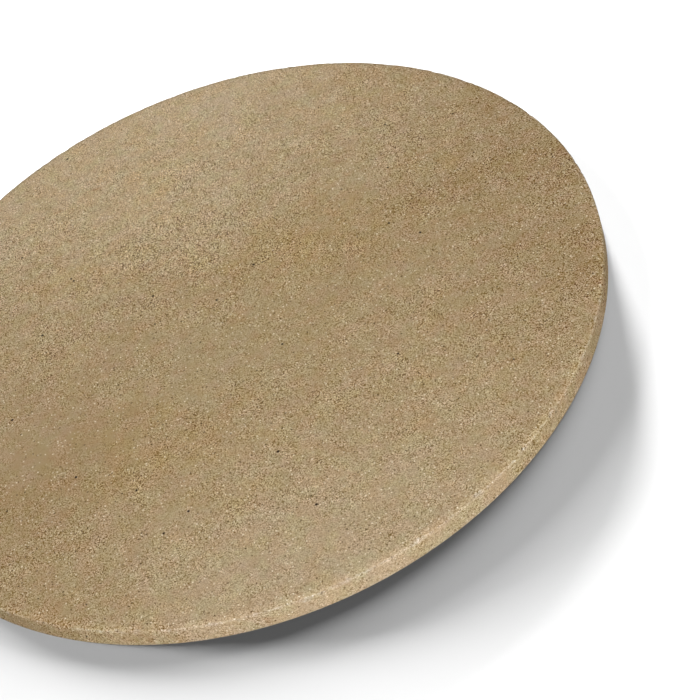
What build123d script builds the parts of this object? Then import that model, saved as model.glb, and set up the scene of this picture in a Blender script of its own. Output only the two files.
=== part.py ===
from build123d import *
import os

# A round pizza stone: one slab, pressed in a mould and fired, with no other piece.
# Lengths are in millimetres. The origin is the centre of the underside, and +Z
# points up through the face that the pizza is baked on.

# Overall size
diameter = 330.0
thickness = 10.0

# Top edge: a shallow slope runs down from the baking face to a worn, rounded arris
slope_width = 2.6
slope_drop = 0.5
shoulder_radius = 6.0
arris_radius = 0.6

# Bottom edge: the round that the mould leaves between the wall and the underside
foot_radius = 1.0

# Where the slope starts and ends
wall_radius = diameter / 2
slope_start = wall_radius - slope_width
slope_end_height = thickness - slope_drop

os.makedirs("parts", exist_ok=True)

# Baking stone: half of its section, turned about its axis
with BuildPart() as baking_stone:
    with BuildSketch(Plane.XZ) as half_section:
        with BuildLine():
            Polyline(
                (0, 0),
                (wall_radius, 0),
                (wall_radius, slope_end_height),
                (slope_start, thickness),
                (0, thickness),
                close=True,
            )
        make_face()
        foot_corner = half_section.vertices().group_by(Axis.X)[-1].sort_by(Axis.Y)[0]
        fillet(foot_corner, radius=foot_radius)
        shoulder_corner = half_section.vertices().group_by(Axis.Y)[-1].sort_by(Axis.X)[-1]
        fillet(shoulder_corner, radius=shoulder_radius)
        arris_corner = half_section.vertices().group_by(Axis.X)[-1].sort_by(Axis.Y)[-1]
        fillet(arris_corner, radius=arris_radius)
    revolve(axis=Axis.Z)

baking_stone.part.label = "baking_stone"
export_step(baking_stone.part, "parts/baking_stone.step")
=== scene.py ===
import math

import bpy
import numpy as np
from mathutils import Matrix, Vector, noise


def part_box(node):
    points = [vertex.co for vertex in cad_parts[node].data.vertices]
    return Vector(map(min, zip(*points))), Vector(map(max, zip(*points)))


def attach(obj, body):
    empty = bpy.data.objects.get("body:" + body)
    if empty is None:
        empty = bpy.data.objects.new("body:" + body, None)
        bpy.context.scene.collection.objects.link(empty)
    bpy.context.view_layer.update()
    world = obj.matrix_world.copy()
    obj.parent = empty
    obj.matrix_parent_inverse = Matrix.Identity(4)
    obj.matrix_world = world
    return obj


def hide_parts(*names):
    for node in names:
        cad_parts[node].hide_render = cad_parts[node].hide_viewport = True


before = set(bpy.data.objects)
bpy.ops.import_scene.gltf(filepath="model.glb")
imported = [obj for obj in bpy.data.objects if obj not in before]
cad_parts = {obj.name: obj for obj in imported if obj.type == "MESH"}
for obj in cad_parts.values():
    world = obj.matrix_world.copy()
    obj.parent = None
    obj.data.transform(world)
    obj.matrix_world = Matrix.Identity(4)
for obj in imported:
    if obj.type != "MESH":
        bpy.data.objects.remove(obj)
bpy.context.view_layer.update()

# A round pizza stone on a white table. Lengths are in metres, and MM turns
# millimetres into them. The material's patterns are in millimetres.
MM = 0.001
_, stone_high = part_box("baking_stone")
RADIUS = max(stone_high.x, stone_high.y)
THICKNESS = stone_high.z

# Camera, fitted to the photograph: the middle of the picture meets the baking face at AIM
LENS_MM = 97.7
CAMERA_DISTANCE = 785.4 * MM
CAMERA_ELEVATION = math.radians(43.96)
CAMERA_ROLL = math.radians(-22.69)
AIM = Vector((42.9 * MM, -52.0 * MM, THICKNESS))

# Rim section: a slope, with a soft shoulder above it and a worn arris below, then the wall and its foot
SLOPE_WIDTH = 2.6 * MM
SLOPE_DROP = 0.5 * MM
SHOULDER_RADIUS = 6.0 * MM
ARRIS_RADIUS = 0.6 * MM
FOOT_RADIUS = 1.0 * MM

# Mesh density: cells across each face, and steps down the rim, which starts this far inside the wall
FACE_CELLS = 208
UNDERSIDE_CELLS = FACE_CELLS // 4
RIM_START = 5.0 * MM
FLAT_STEPS = 4
SHOULDER_STEPS = 2
SLOPE_STEPS = 5
ARRIS_STEPS = 6
WALL_STEPS = 7
FOOT_STEPS = 4

# Relief, down from the ideal surface: depth, length of a feature, and an offset that sets it apart
WAVES = (0.05 * MM, 38.0 * MM, 3.1)
LUMPS = (0.03 * MM, 5.0 * MM, 7.7)
GRIT = (0.035 * MM, 1.6 * MM, 12.9)
# What spreads the noise, which seldom goes beyond 0.8, over the range from 0 to 1
NOISE_GAIN = 0.6

# Wear: scuffs along the arris and, wider, a pale band along the foot: wear, and painted light that lifts the
# foot's shade
SCUFF_DEPTH = 0.22 * MM
SCUFF_LENGTH = 11.0 * MM
SCUFF_OFFSET = 21.3
ARRIS_REACH = 0.4 * MM
FOOT_REACH = 0.8 * MM
# How worn the material looks where there is no scuff on the arris, and how pale the foot is where there is
# one, which is partly painted light
LEAST_WORN = 0.4
FOOT_WEAR_AND_LIGHT = 0.8

# Chips of the arris, with their lengths as a share of their widths, and how far they stray from its line
CHIP_COUNT = 170
CHIP_SIZES = (0.5 * MM, 1.5 * MM)
CHIP_DEPTHS = (0.1 * MM, 0.4 * MM)
CHIP_LENGTH_SHARES = (1.0, 2.6)
CHIP_DRIFT = 0.35 * MM
CHIP_SEED = 13
# No chip goes further from the arris than this
CHIP_BAND = 6.0 * MM


# Rim section

def between(start, stop, share):
    return start + (stop - start) * share


def arc(centre_radius, centre_height, size, start, stop, steps):
    """Points of an arc in the section, each with its outward normal. Angles are from the horizontal."""
    points = []
    for k in range(steps + 1):
        angle = between(start, stop, k / steps)
        out, up = math.cos(angle), math.sin(angle)
        points.append((centre_radius + size * out, centre_height + size * up, out, up))
    return points


def rim_section():
    """Radius, height and outward normal of each ring, from the flat face down to the underside."""
    tilt = math.atan2(SLOPE_DROP, SLOPE_WIDTH)
    steep = math.pi / 2 - tilt
    shoulder_start = RADIUS - SLOPE_WIDTH - SHOULDER_RADIUS * math.tan(tilt / 2)
    shoulder_middle = THICKNESS - SHOULDER_RADIUS
    arris_middle = THICKNESS - SLOPE_DROP - ARRIS_RADIUS * math.tan(steep / 2)
    shoulder = arc(shoulder_start, shoulder_middle, SHOULDER_RADIUS, math.pi / 2, steep, SHOULDER_STEPS)
    arris = arc(RADIUS - ARRIS_RADIUS, arris_middle, ARRIS_RADIUS, steep, 0.0, ARRIS_STEPS)
    foot = arc(RADIUS - FOOT_RADIUS, FOOT_RADIUS, FOOT_RADIUS, 0.0, -math.pi / 2, FOOT_STEPS)
    flat = []
    for k in range(FLAT_STEPS):
        radius = between(RADIUS - RIM_START, shoulder_start, k / FLAT_STEPS)
        flat.append((radius, THICKNESS, 0.0, 1.0))
    slope = []
    for k in range(1, SLOPE_STEPS):
        radius = between(shoulder[-1][0], arris[0][0], k / SLOPE_STEPS)
        height = between(shoulder[-1][1], arris[0][1], k / SLOPE_STEPS)
        slope.append((radius, height, math.sin(tilt), math.cos(tilt)))
    wall = []
    for k in range(1, WALL_STEPS):
        height = between(arris_middle, FOOT_RADIUS, k / WALL_STEPS)
        wall.append((RADIUS, height, 1.0, 0.0))
    return flat + shoulder + slope + arris + wall + foot


def along_section(section):
    """How far each ring lies from the middle of the arris, measured down the section."""
    travel = [0.0]
    for above, below in zip(section, section[1:]):
        travel.append(travel[-1] + math.dist(above[:2], below[:2]))
    middle = min(range(len(section)), key=lambda k: abs(section[k][2] - section[k][3]))
    return [distance - travel[middle] for distance in travel]


# Stone mesh

def disc_points(cells, radius):
    """A square grid of points pressed into a disc, and the indices of its border.

    The border runs anticlockwise from -45 degrees.
    """
    points = []
    for row in range(cells + 1):
        for column in range(cells + 1):
            across = 2 * column / cells - 1
            along = 2 * row / cells - 1
            if abs(across) > abs(along):
                reach, turn = across, math.pi / 4 * along / across
            elif along:
                reach, turn = along, math.pi / 2 - math.pi / 4 * across / along
            else:
                reach, turn = 0.0, 0.0
            points.append((radius * reach * math.cos(turn), radius * reach * math.sin(turn)))
    wide = cells + 1
    border = [row * wide + cells for row in range(cells)]
    border += [cells * wide + column for column in range(cells, 0, -1)]
    border += [row * wide for row in range(cells, 0, -1)]
    border += list(range(cells))
    return points, border


def disc_faces(cells, first):
    """Quads of such a grid, facing up, where its points start at this index."""
    wide = cells + 1
    faces = []
    for row in range(cells):
        for column in range(cells):
            corner = first + row * wide + column
            faces.append((corner, corner + 1, corner + wide + 1, corner + wide))
    return faces


def joined(inner, outer):
    """Faces between two rings of indices, anticlockwise from above.

    The outer ring has as many points as the inner, or twice as many.
    """
    faces = []
    count = len(inner)
    double = len(outer) == 2 * count
    for k in range(count):
        a, b = inner[k], inner[(k + 1) % count]
        if double:
            c, d, e = outer[2 * k], outer[2 * k + 1], outer[(2 * k + 2) % len(outer)]
            faces += [(a, c, d), (a, d, b), (b, d, e)]
        else:
            c, d = outer[k], outer[(k + 1) % count]
            faces.append((a, c, d, b))
    return faces


def flipped(faces):
    return [face[::-1] for face in faces]


class Surface:
    """Collects the stone's points, their outward normals and distances from the arris, and its faces."""

    def __init__(self):
        self.points = []
        self.normals = []
        self.travel = []
        self.faces = []

    def add_disc(self, cells, radius, height, up, distance):
        """Adds a flat disc, and gives back its border."""
        first = len(self.points)
        places, border = disc_points(cells, radius)
        for x, y in places:
            self.points.append((x, y, height))
            self.normals.append((0.0, 0.0, up))
            self.travel.append(distance)
        faces = disc_faces(cells, first)
        self.faces += faces if up > 0 else flipped(faces)
        return [first + k for k in border]

    def add_ring(self, count, radius, height, out, up, distance):
        """Adds a ring of points about the axis, and gives back their indices."""
        first = len(self.points)
        for k in range(count):
            angle = 2 * math.pi * k / count - math.pi / 4
            self.points.append((radius * math.cos(angle), radius * math.sin(angle), height))
            self.normals.append((out * math.cos(angle), out * math.sin(angle), up))
            self.travel.append(distance)
        return list(range(first, first + count))


def ideal_stone():
    """The slab without relief or wear. Its two discs count as lying a whole radius from the arris."""
    surface = Surface()
    section = rim_section()
    face_radius = RADIUS - RIM_START - RIM_START / FLAT_STEPS
    last = surface.add_disc(FACE_CELLS, face_radius, THICKNESS, 1.0, -RADIUS)
    count = 2 * len(last)
    for (radius, height, out, up), distance in zip(section, along_section(section)):
        ring = surface.add_ring(count, radius, height, out, up, distance)
        surface.faces += joined(last, ring)
        last = ring
    # On the underside each ring has half as many points as the last, down to the border of its own disc
    radius = section[-1][0]
    step = 2 * math.pi * radius / count
    while count > 4 * UNDERSIDE_CELLS:
        count //= 2
        step *= 2
        radius -= step
        ring = surface.add_ring(count, radius, 0.0, 0.0, -1.0, RADIUS)
        surface.faces += flipped(joined(ring, last))
        last = ring
    border = surface.add_disc(UNDERSIDE_CELLS, radius - step, 0.0, -1.0, RADIUS)
    surface.faces += flipped(joined(border, last))
    return surface


def field(points, length, offset):
    """Smooth noise from 0 to 1 at each point, with features of this length."""
    shift = Vector((offset, -offset, 0.5 * offset))
    values = [noise.noise(Vector(p) / length + shift) for p in points]
    return np.clip(0.5 + NOISE_GAIN * np.array(values), 0, 1)


def chips(points, travel):
    """Depth of the small chips along the arris at each point, and how much each point lies in one."""
    rng = np.random.default_rng(CHIP_SEED)
    depth = np.zeros(len(points))
    cover = np.zeros(len(points))
    near = np.flatnonzero(np.abs(travel) < CHIP_BAND)
    angle = np.arctan2(points[near, 1], points[near, 0])
    for _ in range(CHIP_COUNT):
        place = rng.uniform(-math.pi, math.pi)
        size = between(*CHIP_SIZES, rng.random() ** 2)
        deep = between(*CHIP_DEPTHS, rng.random() ** 2)
        stretch = rng.uniform(*CHIP_LENGTH_SHARES)
        drift = rng.normal(0, CHIP_DRIFT)
        gap = (angle - place + math.pi) % (2 * math.pi) - math.pi
        reach = np.hypot(gap * RADIUS / stretch, travel[near] - drift) / size
        bowl = np.clip(1 - reach ** 2, 0, 1)
        depth[near] = np.maximum(depth[near], deep * bowl)
        cover[near] = np.maximum(cover[near], np.clip(2 * bowl, 0, 1))
    return depth, cover


def stone_mesh():
    """The slab with its relief and wear, and how worn each point is, which the material reads; at the foot
    this also sets painted light that lifts the shade under its rounding.
    """
    surface = ideal_stone()
    points = np.array(surface.points)
    normals = np.array(surface.normals)
    travel = np.array(surface.travel)
    foot_travel = THICKNESS - SLOPE_DROP - FOOT_RADIUS
    arris_band = np.exp(-(travel / ARRIS_REACH) ** 2)
    foot_band = np.exp(-((travel - foot_travel) / FOOT_REACH) ** 2)
    scuffs = field(points, SCUFF_LENGTH, SCUFF_OFFSET)
    chip_depth, chip_cover = chips(points, travel)
    depth = SCUFF_DEPTH * scuffs * arris_band + chip_depth
    for relief_depth, length, offset in (WAVES, LUMPS, GRIT):
        depth += relief_depth * field(points, length, offset)
    # The foot's share is partly wear and partly painted light, lifting the shade under its rounding
    wear_and_foot_light = arris_band * between(LEAST_WORN, 1.0, scuffs) + FOOT_WEAR_AND_LIGHT * foot_band * scuffs + chip_cover
    wear_and_foot_light = np.clip(wear_and_foot_light, 0, 1).astype(np.float32)
    mesh = bpy.data.meshes.new("baking_stone_skin")
    mesh.from_pydata((points - normals * depth[:, None]).tolist(), [], surface.faces)
    mesh.polygons.foreach_set("use_smooth", [True] * len(mesh.polygons))
    mesh.attributes.new("wear_and_foot_light", "FLOAT", "POINT").data.foreach_set("value", wear_and_foot_light)
    mesh.validate()
    return mesh


# Material nodes

class Builder:
    """Fills a node tree, from empty. An input is a number, a tuple or another node's output."""

    def __init__(self, tree):
        self.tree = tree
        tree.nodes.clear()

    def add(self, kind, settings=None, **inputs):
        """A node whose inputs are given by name, with _ for a space, or as i0, i1 and so on by number."""
        made = self.tree.nodes.new(kind)
        for name, value in (settings or {}).items():
            setattr(made, name, value)
        for name, value in inputs.items():
            key = int(name[1:]) if name[0] == "i" and name[1:].isdigit() else name.replace("_", " ")
            self.give(made.inputs[key], value)
        return made

    def give(self, socket, value):
        if isinstance(value, bpy.types.NodeSocket):
            self.tree.links.new(value, socket)
        else:
            socket.default_value = value

    def maths(self, operation, a, b=0.0, clamp=False):
        made = self.add("ShaderNodeMath", {"operation": operation, "use_clamp": clamp}, i0=a, i1=b)
        return made.outputs[0]

    def vector(self, operation, a, b):
        return self.add("ShaderNodeVectorMath", {"operation": operation}, i0=a, i1=b).outputs[0]

    def scaled(self, vector, scale):
        made = self.add("ShaderNodeVectorMath", {"operation": "SCALE"}, i0=vector, Scale=scale)
        return made.outputs[0]

    def length(self, vector):
        return self.add("ShaderNodeVectorMath", {"operation": "LENGTH"}, i0=vector).outputs["Value"]

    def ramp(self, value, low, high, start=0.0, stop=1.0, smooth=True):
        """Goes from start to stop while the value goes from low to high, and no further."""
        settings = {"interpolation_type": "SMOOTHSTEP" if smooth else "LINEAR"}
        made = self.add("ShaderNodeMapRange", settings, i0=value, i1=low, i2=high, i3=start, i4=stop)
        return made.outputs[0]

    def stretched(self, place, location, turn, scale):
        """The place as seen from an oval with this middle, turn in degrees and half sizes."""
        made = self.add(
            "ShaderNodeMapping",
            {"vector_type": "TEXTURE"},
            Vector=place,
            Location=location,
            Rotation=(0.0, 0.0, math.radians(turn)),
            Scale=scale,
        )
        return made.outputs[0]

    def cells(self, place, size, shift):
        """Voronoi cells: the distance from a cell's middle, in cells, and a random value for each cell."""
        moved = self.vector("ADD", place, (shift, shift, shift))
        made = self.add("ShaderNodeTexVoronoi", {"feature": "F1"}, Vector=moved, Scale=1 / size)
        split = self.add("ShaderNodeSeparateColor", None, Color=made.outputs["Color"])
        return made.outputs["Distance"], split.outputs[0]

    def clouds(self, place, size, detail, shift):
        """Smooth noise about 0.5."""
        moved = self.vector("ADD", place, (shift, -shift, shift))
        settings = {"Scale": 1 / size, "Detail": detail, "Roughness": CLOUD_ROUGHNESS}
        return self.add("ShaderNodeTexNoise", None, Vector=moved, **settings).outputs[0]

    def swing(self, place, clouds, gain):
        """The same noise about 0, times a gain."""
        return self.maths("MULTIPLY", self.maths("SUBTRACT", self.clouds(place, *clouds), 0.5), gain)

    def spots(self, place, size, shift, edge, core, least, most, smooth=False):
        """Round spots, at most one to a cell, and only in the cells that the random value picks."""
        distance, pick = self.cells(place, size, shift)
        round_spot = self.ramp(distance, edge, core)
        return self.maths("MULTIPLY", round_spot, self.ramp(pick, least, most, 0.0, 1.0, smooth))

    def tinted(self, colour, factor, tint):
        """The colour, multiplied by a tint as far as the factor says."""
        settings = {"data_type": "RGBA", "blend_type": "MULTIPLY"}
        return self.add("ShaderNodeMix", settings, i0=factor, i6=colour, i7=tint).outputs[2]

    def tinted_both_ways(self, colour, value, above, below):
        """The colour with one tint as far as the value is above 0, and another as far as it is below."""
        colour = self.tinted(colour, self.ramp(value, 0.0, 1.0, 0.0, 1.0, False), above)
        return self.tinted(colour, self.ramp(value, 0.0, -1.0, 0.0, 1.0, False), below)

    def mixed(self, colour, factor, other):
        settings = {"data_type": "RGBA", "blend_type": "MIX"}
        return self.add("ShaderNodeMix", settings, i0=factor, i6=colour, i7=other).outputs[2]


def new_material(name):
    material = bpy.data.materials.new(name)
    material.use_nodes = True
    return material, Builder(material.node_tree)


# Clay: its patterns. Sizes are in mm, and a shift sets a pattern apart from the others

# The outlines of patches and rust spots are bent by clouds of this size, detail and reach
BEND_SIZE = 26.0
BEND_DETAIL = 3.0
BEND_REACH = 50.0

# Cells: size, shift
DUST_CELLS = (0.35, 0.0)
GRAIN_CELLS = (0.6, 31.7)
# Clouds: size, detail, shift
SPECKLE_CLOUDS = (2.4, 2.0, 5.3)
TONE_CLOUDS = (11.0, 3.0, 8.1)
MOTTLE_CLOUDS = (4.5, 2.0, 29.0)
WARMTH_CLOUDS = (13.0, 3.0, 17.9)
GREEN_CLOUDS = (9.0, 2.0, 44.0)
RUBBED_CLOUDS = (1.3, 1.0, 37.0)
RUBBED_PATCHES = (9.0, 2.0, 52.0)
ROUGHNESS_CLOUDS = (1.3, 1.0, 3.0)
CLOUD_ROUGHNESS = 0.55
# Most of the noise lies between these values
CLOUD_SPAN = (0.2, 0.8)
# Spots: the cells' size and shift, the distances at which a spot ends and is full, in cells, and the random
# values from which a cell has a faint spot and a full one
DARK_GRAINS = (1.7, 71.0, 0.32, 0.13, 0.65, 1.0)
LIGHT_GRAINS = (1.6, 93.0, 0.28, 0.13, 0.56, 0.94)
RUST_SPOTS = (14.0, 19.0, 0.16, 0.03, 0.3, 1.0)
PINHOLES = (10.0, 58.3, 0.075, 0.045, 0.5, 0.6)
RUST_TURN = -31.0
RUST_STRETCH = 3.0

# Clay: its tones. A tone of 1 adds one step to the colour

# Dust: each cell's tone goes from the lowest to the highest as its random value goes over the span
DUST_SPAN = (0.1, 0.9)
DUST_TONE = 0.6
# Grains: the tone falls from the middle to the seam, evenly in the distance raised to the power. A grain has
# this share more or less of it
GRAIN_TONE = 1.0
SEAM_TONE = -1.2
SEAM_DISTANCE = 0.85
SEAM_POWER = 1.5
GRAIN_DIFFERENCE = 0.4
# Speckle is added to the grain, which gets no darker than this
SPECKLE_TONE = 0.15
DARKEST_TONE = -1.15
# How far clouds change the clay, where a mottle of smaller clouds is darker and warmer
CLAY_TONE = 0.42
CLAY_WARMTH = 2.0
CLAY_GREEN = 2.6
MOTTLE_TONE = 0.25
MOTTLE_WARMTH = 5.0
# Clouds that change the strength of the grain, each from the first share to the second
GRAIN_STRENGTHS = (
    ((7.0, 2.0, 61.0), 0.25, 1.65),
    ((2.8, 2.0, 66.0), -0.5, 0.5),
    ((20.0, 2.0, 73.0), -0.7, 0.7),
)

# Clay: its colours. Tan is the clay's own, cream is that of the light grains, and rubbed clay is pale, as is
# the foot, where the pale is partly painted light
TAN = (0.374, 0.273, 0.147)
CREAM = (0.78, 0.68, 0.50, 1.0)
PALE = (0.72, 0.65, 0.52, 1.0)
# What a tone of 1 adds to the clay's colour: in a grain, and in a patch, where it is also greyer
GRAIN_STEP = (0.200, 0.171, 0.125)
PATCH_STEP = (0.163, 0.171, 0.146)
# What the colour is multiplied by, where the clay is of this kind
WARM = (1.03, 0.98, 0.84, 1.0)
COOL = (0.98, 1.0, 1.10, 1.0)
GREEN = (0.98, 1.015, 0.98, 1.0)
PINK = (1.025, 0.98, 1.01, 1.0)
DARK = (0.2, 0.13, 0.05, 1.0)
RUST = (0.86, 0.76, 0.68, 1.0)
# Painted shade: the pinholes are darkened almost to black
PINHOLE_SHADE = (0.05, 0.02, 0.0, 1.0)
# Tint of the worn arris, and of the pale foot, where it is partly painted light
WEAR_AND_FOOT_LIGHT_TINT = (0.95, 0.99, 1.12, 1.0)

# Clay: its surface. A pinhole is this many times as deep as a grain is high
BUMP_STRENGTH = 0.5
BUMP_HEIGHT = 0.06 * MM
PINHOLE_DEPTH = 2.0
ROUGHNESSES = (0.82, 0.98)
SPECULAR = 0.3

# Rubbed clay, and the pale foot, where it is partly painted light: the noise at which it starts to be pale,
# and is so in full, grain by grain and in patches; how far it is so between the patches; and how much of the
# pale colour it takes
RUBBED_GRAIN_SPAN = (0.46, 0.62)
RUBBED_PATCH_SPAN = (0.4, 0.6)
LEAST_RUBBED = 0.25
PALE_SHARE = 0.34

# Broad changes of the baking face, placed where the photograph has them: x, y, half length, half
# width, turn in degrees, tone, warmth, green
PATCHES = (
    # Lighter towards the +y edge: partly the clay's uneven tone and partly painted light
    (-5.0, 175.0, 190.0, 105.0, 0.0, 0.53, 0.4, -0.8),
    (-15.0, 84.0, 95.0, 44.0, 0.0, 0.16, 0.0, 0.0),
    (88.0, 54.0, 28.0, 20.0, 0.0, 0.07, 0.0, 0.0),
    # Lighter towards the -y edge: partly the clay's uneven tone and partly painted light
    (5.0, -175.0, 150.0, 75.0, 0.0, 0.30, -0.1, -0.4),
    (15.0, -112.0, 70.0, 28.0, 0.0, 0.05, 0.0, 0.0),
    (30.0, -20.0, 130.0, 48.0, 0.0, -0.06, -0.05, 0.0),
    (0.0, -25.0, 60.0, 34.0, 0.0, 0.0, -0.1, 0.8),
    # Darker and cooler towards the +x edge
    (165.0, 20.0, 75.0, 110.0, 0.0, -0.22, -0.6, 0.0),
    (130.0, 17.0, 54.0, 12.0, 0.0, -0.19, 0.2, 0.0),
    (76.0, 12.0, 46.0, 22.0, -8.0, -0.08, 0.1, 0.0),
    (35.0, 25.0, 48.0, 26.0, -20.0, -0.05, 0.45, 0.3),
    (-90.0, -15.0, 45.0, 40.0, 0.0, -0.13, -0.3, -0.3),
    (-118.0, -60.0, 50.0, 30.0, 4.0, -0.14, -0.3, 0.0),
    (-108.0, -85.0, 55.0, 55.0, 0.0, -0.15, -0.2, 0.0),
    (-62.0, -46.0, 32.0, 14.0, -6.0, -0.13, 0.15, 0.0),
    (-52.0, -71.0, 40.0, 15.0, -16.0, -0.17, 0.5, 0.0),
    (-34.0, -56.0, 12.0, 9.0, 0.0, -0.13, 0.5, 0.0),
    (-13.0, -62.0, 12.0, 8.0, -10.0, -0.13, 0.4, 0.0),
    (125.0, -65.0, 42.0, 48.0, 0.0, -0.13, -0.3, 0.0),
    (-45.0, 68.0, 45.0, 30.0, 0.0, 0.05, 0.25, 0.0),
    (28.0, 142.0, 12.0, 22.0, 0.0, 0.1, -0.3, 0.0),
    (104.0, 42.0, 15.0, 9.0, 0.0, -0.14, 0.4, 0.0),
    (113.0, -5.0, 14.0, 11.0, 0.0, -0.11, 0.0, 0.0),
    (64.0, -16.0, 11.0, 9.0, 0.0, -0.11, 0.4, 0.0),
    (98.0, 120.0, 34.0, 18.0, -40.0, -0.16, 0.15, 0.0),
    (152.0, -60.0, 14.0, 30.0, 0.0, -0.2, 0.0, 0.0),
    (-88.0, -128.0, 36.0, 17.0, -34.0, -0.13, 0.0, 0.0),
    (-124.0, -50.0, 18.0, 16.0, 0.0, -0.2, 0.0, 0.0),
    (-95.0, 112.0, 22.0, 26.0, 0.0, 0.12, -0.2, 0.0),
    (10.0, 52.0, 22.0, 12.0, 0.0, 0.1, 0.0, 0.0),
    (-48.0, 34.0, 16.0, 12.0, 0.0, 0.1, 0.0, 0.0),
    (98.0, -121.0, 14.0, 11.0, 0.0, -0.15, 0.0, 0.0),
    (-66.0, -112.0, 12.0, 9.0, 0.0, 0.1, 0.0, 0.0),
    (-68.0, 62.0, 18.0, 12.0, 0.0, -0.09, 0.2, 0.0),
    (84.0, 92.0, 10.0, 12.0, 0.0, 0.0, 0.5, 0.0),
    (-14.0, 107.0, 16.0, 16.0, 0.0, -0.04, 0.5, 0.0),
    (0.0, 45.0, 9.0, 9.0, 0.0, -0.13, 0.5, 0.0),
    (148.0, 68.0, 13.0, 30.0, 20.0, -0.12, 0.0, 0.0),
    (-11.0, -82.0, 10.0, 8.0, 0.0, 0.14, 0.0, 0.0),
)

# Where the clay is coarser or finer: x, y, half length, half width, share added to the grain
COARSENESS = (
    (-10.0, 80.0, 130.0, 62.0, 0.38),
    (60.0, 42.0, 26.0, 30.0, -0.38),
    (10.0, -20.0, 150.0, 28.0, -0.25),
    (-84.0, -43.0, 44.0, 36.0, -0.5),
    (0.0, -165.0, 95.0, 32.0, -0.22),
    (-80.0, -112.0, 60.0, 35.0, -0.1),
    (65.0, -130.0, 45.0, 28.0, -0.1),
    (0.0, 60.0, 45.0, 30.0, 0.36),
)

# A patch fades out at this share of its half sizes, and goes this far through the stone
PATCH_FADE_SHARE = 1.35
PATCH_DEPTH = 1e6


def bent_place(nodes, place):
    """The place on the faces, moved about by clouds, so that what is drawn there has ragged outlines."""
    parts = nodes.add("ShaderNodeSeparateXYZ", None, i0=place)
    flat = nodes.add("ShaderNodeCombineXYZ", None, i0=parts.outputs[0], i1=parts.outputs[1]).outputs[0]
    bend = nodes.add("ShaderNodeTexNoise", None, Vector=place, Scale=1 / BEND_SIZE, Detail=BEND_DETAIL)
    bend = nodes.vector("SUBTRACT", bend.outputs["Color"], (0.5, 0.5, 0.5))
    return nodes.vector("ADD", flat, nodes.scaled(bend, BEND_REACH))


def patch(nodes, bent, x, y, half_length, half_width, turn=0.0):
    """1 in the middle of an oval patch, fading to 0 somewhat outside it."""
    seen = nodes.stretched(bent, (x, y, 0.0), turn, (half_length, half_width, PATCH_DEPTH))
    return nodes.ramp(nodes.length(seen), PATCH_FADE_SHARE, 0.0)


def grain_strength(nodes, place, bent):
    """How strong the grain is: in clouds, and coarser or finer in patches."""
    strength = 0.0
    for clouds, least, most in GRAIN_STRENGTHS:
        change = nodes.ramp(nodes.clouds(place, *clouds), 0.0, 1.0, least, most, False)
        strength = nodes.maths("ADD", strength, change)
    for *oval, coarser in COARSENESS:
        strength = nodes.maths("ADD", strength, nodes.maths("MULTIPLY", patch(nodes, bent, *oval), coarser))
    return strength


def grain_tone(nodes, place):
    """The tone of each grain of the clay, with dark seams around it, and the distance from its middle."""
    _, dust_pick = nodes.cells(place, *DUST_CELLS)
    dust = nodes.ramp(dust_pick, *DUST_SPAN, -DUST_TONE, DUST_TONE)
    distance, pick = nodes.cells(place, *GRAIN_CELLS)
    grain = nodes.maths("POWER", distance, SEAM_POWER)
    grain = nodes.ramp(grain, 0.0, SEAM_DISTANCE, GRAIN_TONE, SEAM_TONE, False)
    contrast = nodes.ramp(pick, 0.0, 1.0, 1 - GRAIN_DIFFERENCE, 1 + GRAIN_DIFFERENCE, False)
    grain = nodes.maths("MULTIPLY", grain, contrast)
    speckle = nodes.swing(place, SPECKLE_CLOUDS, SPECKLE_TONE)
    tone = nodes.maths("ADD", nodes.maths("ADD", dust, grain), speckle)
    return nodes.maths("MAXIMUM", tone, DARKEST_TONE), distance


def clay_and_light_patches(nodes, place, bent):
    """Tone, warmth and greenness between the grains: of the clay in clouds, and in the patches, where the
    lighter bands at the +y and -y edges are partly painted light.
    """
    mottle = nodes.swing(place, MOTTLE_CLOUDS, MOTTLE_TONE)
    tone = nodes.maths("SUBTRACT", nodes.swing(place, TONE_CLOUDS, CLAY_TONE), mottle)
    warmth = nodes.swing(place, WARMTH_CLOUDS, CLAY_WARMTH)
    warmth = nodes.maths("ADD", warmth, nodes.maths("MULTIPLY", mottle, MOTTLE_WARMTH))
    green = 0.0
    for *oval, lighter, warmer, greener in PATCHES:
        inside = patch(nodes, bent, *oval)
        tone = nodes.maths("ADD", tone, nodes.maths("MULTIPLY", inside, lighter))
        warmth = nodes.maths("ADD", warmth, nodes.maths("MULTIPLY", inside, warmer))
        green = nodes.maths("ADD", green, nodes.maths("MULTIPLY", inside, greener))
    clouds = nodes.clouds(place, *GREEN_CLOUDS)
    clouds = nodes.ramp(clouds, *CLOUD_SPAN, -CLAY_GREEN, CLAY_GREEN, False)
    return tone, warmth, nodes.maths("ADD", green, clouds)


def clay_colour(nodes, place, bent, grain):
    tone, warmth, green = clay_and_light_patches(nodes, place, bent)
    grain = nodes.maths("MULTIPLY", grain, grain_strength(nodes, place, bent))
    colour = nodes.vector("ADD", TAN, nodes.scaled(GRAIN_STEP, grain))
    colour = nodes.vector("ADD", colour, nodes.scaled(PATCH_STEP, tone))
    colour = nodes.tinted_both_ways(colour, warmth, WARM, COOL)
    return nodes.tinted_both_ways(colour, green, GREEN, PINK)


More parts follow.
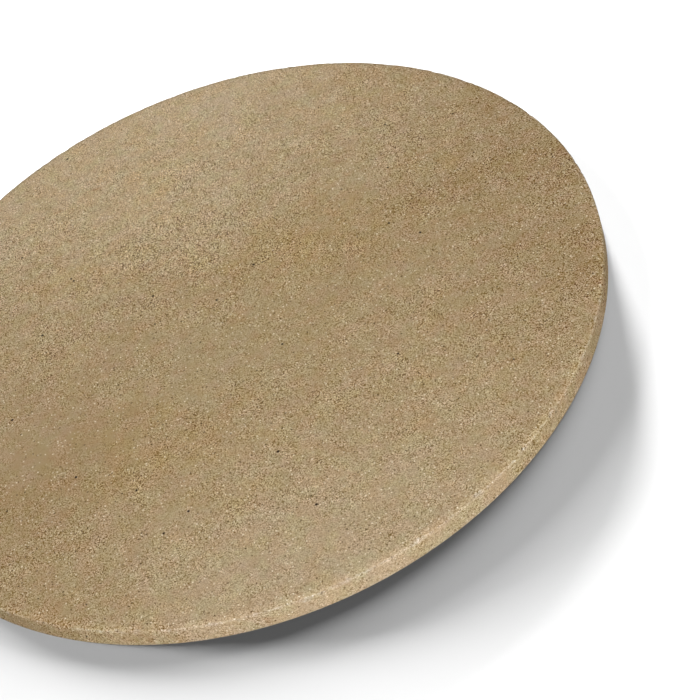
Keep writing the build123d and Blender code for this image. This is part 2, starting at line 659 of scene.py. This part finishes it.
def worn_and_foot_lit_colour(nodes, place, colour):
    """The arris and the foot are worn, and rubbed pale there in patches and single grains; on the foot the
    pale is partly painted light, lifting the shade under its rounding.
    """
    wear_and_foot_light = nodes.add("ShaderNodeAttribute", {"attribute_name": "wear_and_foot_light"}).outputs["Fac"]
    grains = nodes.ramp(nodes.clouds(place, *RUBBED_CLOUDS), *RUBBED_GRAIN_SPAN)
    patches = nodes.ramp(nodes.clouds(place, *RUBBED_PATCHES), *RUBBED_PATCH_SPAN, LEAST_RUBBED, 1.0)
    pale_wear_and_light = nodes.maths("MULTIPLY", wear_and_foot_light, nodes.maths("MULTIPLY", grains, patches), True)
    colour = nodes.tinted(colour, wear_and_foot_light, WEAR_AND_FOOT_LIGHT_TINT)
    return nodes.mixed(colour, nodes.maths("MULTIPLY", pale_wear_and_light, PALE_SHARE), PALE)


def stone_material():
    material, nodes = new_material("fired_clay")
    coordinates = nodes.add("ShaderNodeTexCoord").outputs["Object"]
    place = nodes.scaled(coordinates, 1 / MM)
    bent = bent_place(nodes, place)
    grain, grain_distance = grain_tone(nodes, place)
    dark = nodes.spots(place, *DARK_GRAINS)
    light = nodes.spots(place, *LIGHT_GRAINS)
    smeared = nodes.stretched(bent, (0.0, 0.0, 0.0), RUST_TURN, (RUST_STRETCH, 1.0, 1.0))
    rust = nodes.spots(smeared, *RUST_SPOTS)
    pinhole = nodes.spots(place, *PINHOLES, smooth=True)

    colour = clay_colour(nodes, place, bent, grain)
    colour = nodes.tinted(colour, dark, DARK)
    colour = nodes.mixed(colour, light, CREAM)
    colour = nodes.tinted(colour, rust, RUST)
    # Painted shade darkens the pinholes
    colour = nodes.tinted(colour, pinhole, PINHOLE_SHADE)
    # The pale of the foot is partly painted light
    colour = worn_and_foot_lit_colour(nodes, place, colour)

    height = nodes.maths("SUBTRACT", 1.0, nodes.maths("POWER", grain_distance, 2.0))
    height = nodes.maths("SUBTRACT", height, nodes.maths("MULTIPLY", pinhole, PINHOLE_DEPTH))
    height = nodes.maths("SUBTRACT", height, dark)
    bump = nodes.add("ShaderNodeBump", None, Strength=BUMP_STRENGTH, Distance=BUMP_HEIGHT, Height=height)
    shader = nodes.add(
        "ShaderNodeBsdfPrincipled",
        None,
        Base_Color=colour,
        Roughness=nodes.ramp(nodes.clouds(place, *ROUGHNESS_CLOUDS), *CLOUD_SPAN, *ROUGHNESSES),
        Specular_IOR_Level=SPECULAR,
        Normal=bump.outputs[0],
    )
    nodes.add("ShaderNodeOutputMaterial", None, Surface=shader.outputs[0])
    return material


# Stone

stone = bpy.data.objects.new("baking_stone_skin", stone_mesh())
bpy.context.scene.collection.objects.link(stone)
stone.data.materials.append(stone_material())
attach(stone, "root")
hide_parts("baking_stone")


# Floor

FLOOR_SIZE = 6.0
FLOOR_COLOUR = (0.7, 0.7, 0.7, 1.0)


def floor_mesh():
    half = FLOOR_SIZE / 2
    corners = [(-half, -half, 0), (half, -half, 0), (half, half, 0), (-half, half, 0)]
    mesh = bpy.data.meshes.new("table")
    mesh.from_pydata(corners, [], [(0, 1, 2, 3)])
    return mesh


def floor_material():
    material, nodes = new_material("table")
    shader = nodes.add("ShaderNodeBsdfDiffuse", None, Color=FLOOR_COLOUR)
    nodes.add("ShaderNodeOutputMaterial", None, Surface=shader.outputs[0])
    return material


floor = bpy.data.objects.new("table", floor_mesh())
bpy.context.scene.collection.objects.link(floor)
floor.data.materials.append(floor_material())
# Neither throws light back on the other, so the stone's shadow is a plain grey and its wall stays dark
stone.visible_diffuse = False
floor.visible_diffuse = False


# Light. Angles are in degrees, and an azimuth is measured from the camera's side towards +X. A level is how
# bright a white card looks that faces the lamp from the stone's place, or lies on the floor under the sun

WORLD_LEVEL = 0.09
LAMPS = (  # name, azimuth, elevation, distance, size, level
    ("key", 8.0, 30.0, 3.4, 1.1, 1.23),
    ("top", 0.0, 85.0, 2.0, 1.6, 0.19),
    ("back", 190.0, 35.0, 1.2, 0.8, 0.22),
)
SUNS = (  # name, azimuth, elevation, softness, level
    ("side_shadow", 240.0, 4.6, 13.0, 0.41),
    ("front_shadow", 170.0, 4.1, 10.0, 0.79),
    ("middle_shadow", 208.0, 14.0, 18.0, 0.43),
    ("contact_shadow", 137.0, 27.0, 44.0, 0.52),
)


def new_lamp(data, azimuth, elevation, distance, target):
    """Puts a lamp this far off in that direction, turned to the origin. It lights its target alone."""
    across, up = math.radians(azimuth), math.radians(elevation)
    direction = Vector((math.sin(across) * math.cos(up), -math.cos(across) * math.cos(up), math.sin(up)))
    lamp = bpy.data.objects.new(data.name, data)
    bpy.context.scene.collection.objects.link(lamp)
    lamp.location = direction * distance
    lamp.rotation_mode = "QUATERNION"
    lamp.rotation_quaternion = (-direction).to_track_quat("-Z", "Y")
    lit = bpy.data.collections.new(data.name + "_lights")
    lit.objects.link(target)
    lamp.light_linking.receiver_collection = lit


def area_lamp(name, azimuth, elevation, distance, size, level):
    """A square soft lamp for the stone."""
    data = bpy.data.lights.new(name, "AREA")
    data.shape = "SQUARE"
    data.size = size
    data.energy = level * (math.pi * distance) ** 2
    new_lamp(data, azimuth, elevation, distance, stone)


def floor_sun(name, azimuth, elevation, softness, level):
    """A soft sun for the floor, on which the stone casts its shadow."""
    data = bpy.data.lights.new(name, "SUN")
    data.angle = math.radians(softness)
    data.energy = level * math.pi / math.sin(math.radians(elevation))
    new_lamp(data, azimuth, elevation, 0.0, floor)


def studio_world():
    """A dim white world that the camera, reflections and glass see as plain white."""
    made = bpy.data.worlds.new("studio")
    made.use_nodes = True
    nodes = Builder(made.node_tree)
    path = nodes.add("ShaderNodeLightPath")
    seen = nodes.maths("MAXIMUM", path.outputs["Is Camera Ray"], path.outputs["Is Glossy Ray"])
    seen = nodes.maths("MAXIMUM", seen, path.outputs["Is Transmission Ray"])
    strength = nodes.ramp(seen, 0.0, 1.0, WORLD_LEVEL, 1.0, False)
    background = nodes.add("ShaderNodeBackground", None, Color=(1.0, 1.0, 1.0, 1.0), Strength=strength)
    nodes.add("ShaderNodeOutputWorld", None, Surface=background.outputs[0])
    return made


for lamp_values in LAMPS:
    area_lamp(*lamp_values)
for sun_values in SUNS:
    floor_sun(*sun_values)
bpy.context.scene.world = studio_world()


# Camera

camera_data = bpy.data.cameras.new("camera")
camera_data.lens = LENS_MM
camera = bpy.data.objects.new("camera", camera_data)
bpy.context.scene.collection.objects.link(camera)
back_off = Vector((0.0, -math.cos(CAMERA_ELEVATION), math.sin(CAMERA_ELEVATION))) * CAMERA_DISTANCE
turn = Matrix.Rotation(math.pi / 2 - CAMERA_ELEVATION, 4, "X") @ Matrix.Rotation(CAMERA_ROLL, 4, "Z")
camera.matrix_world = Matrix.Translation(AIM + back_off) @ turn
bpy.context.scene.camera = camera
bpy.context.scene.view_settings.view_transform = "Standard"
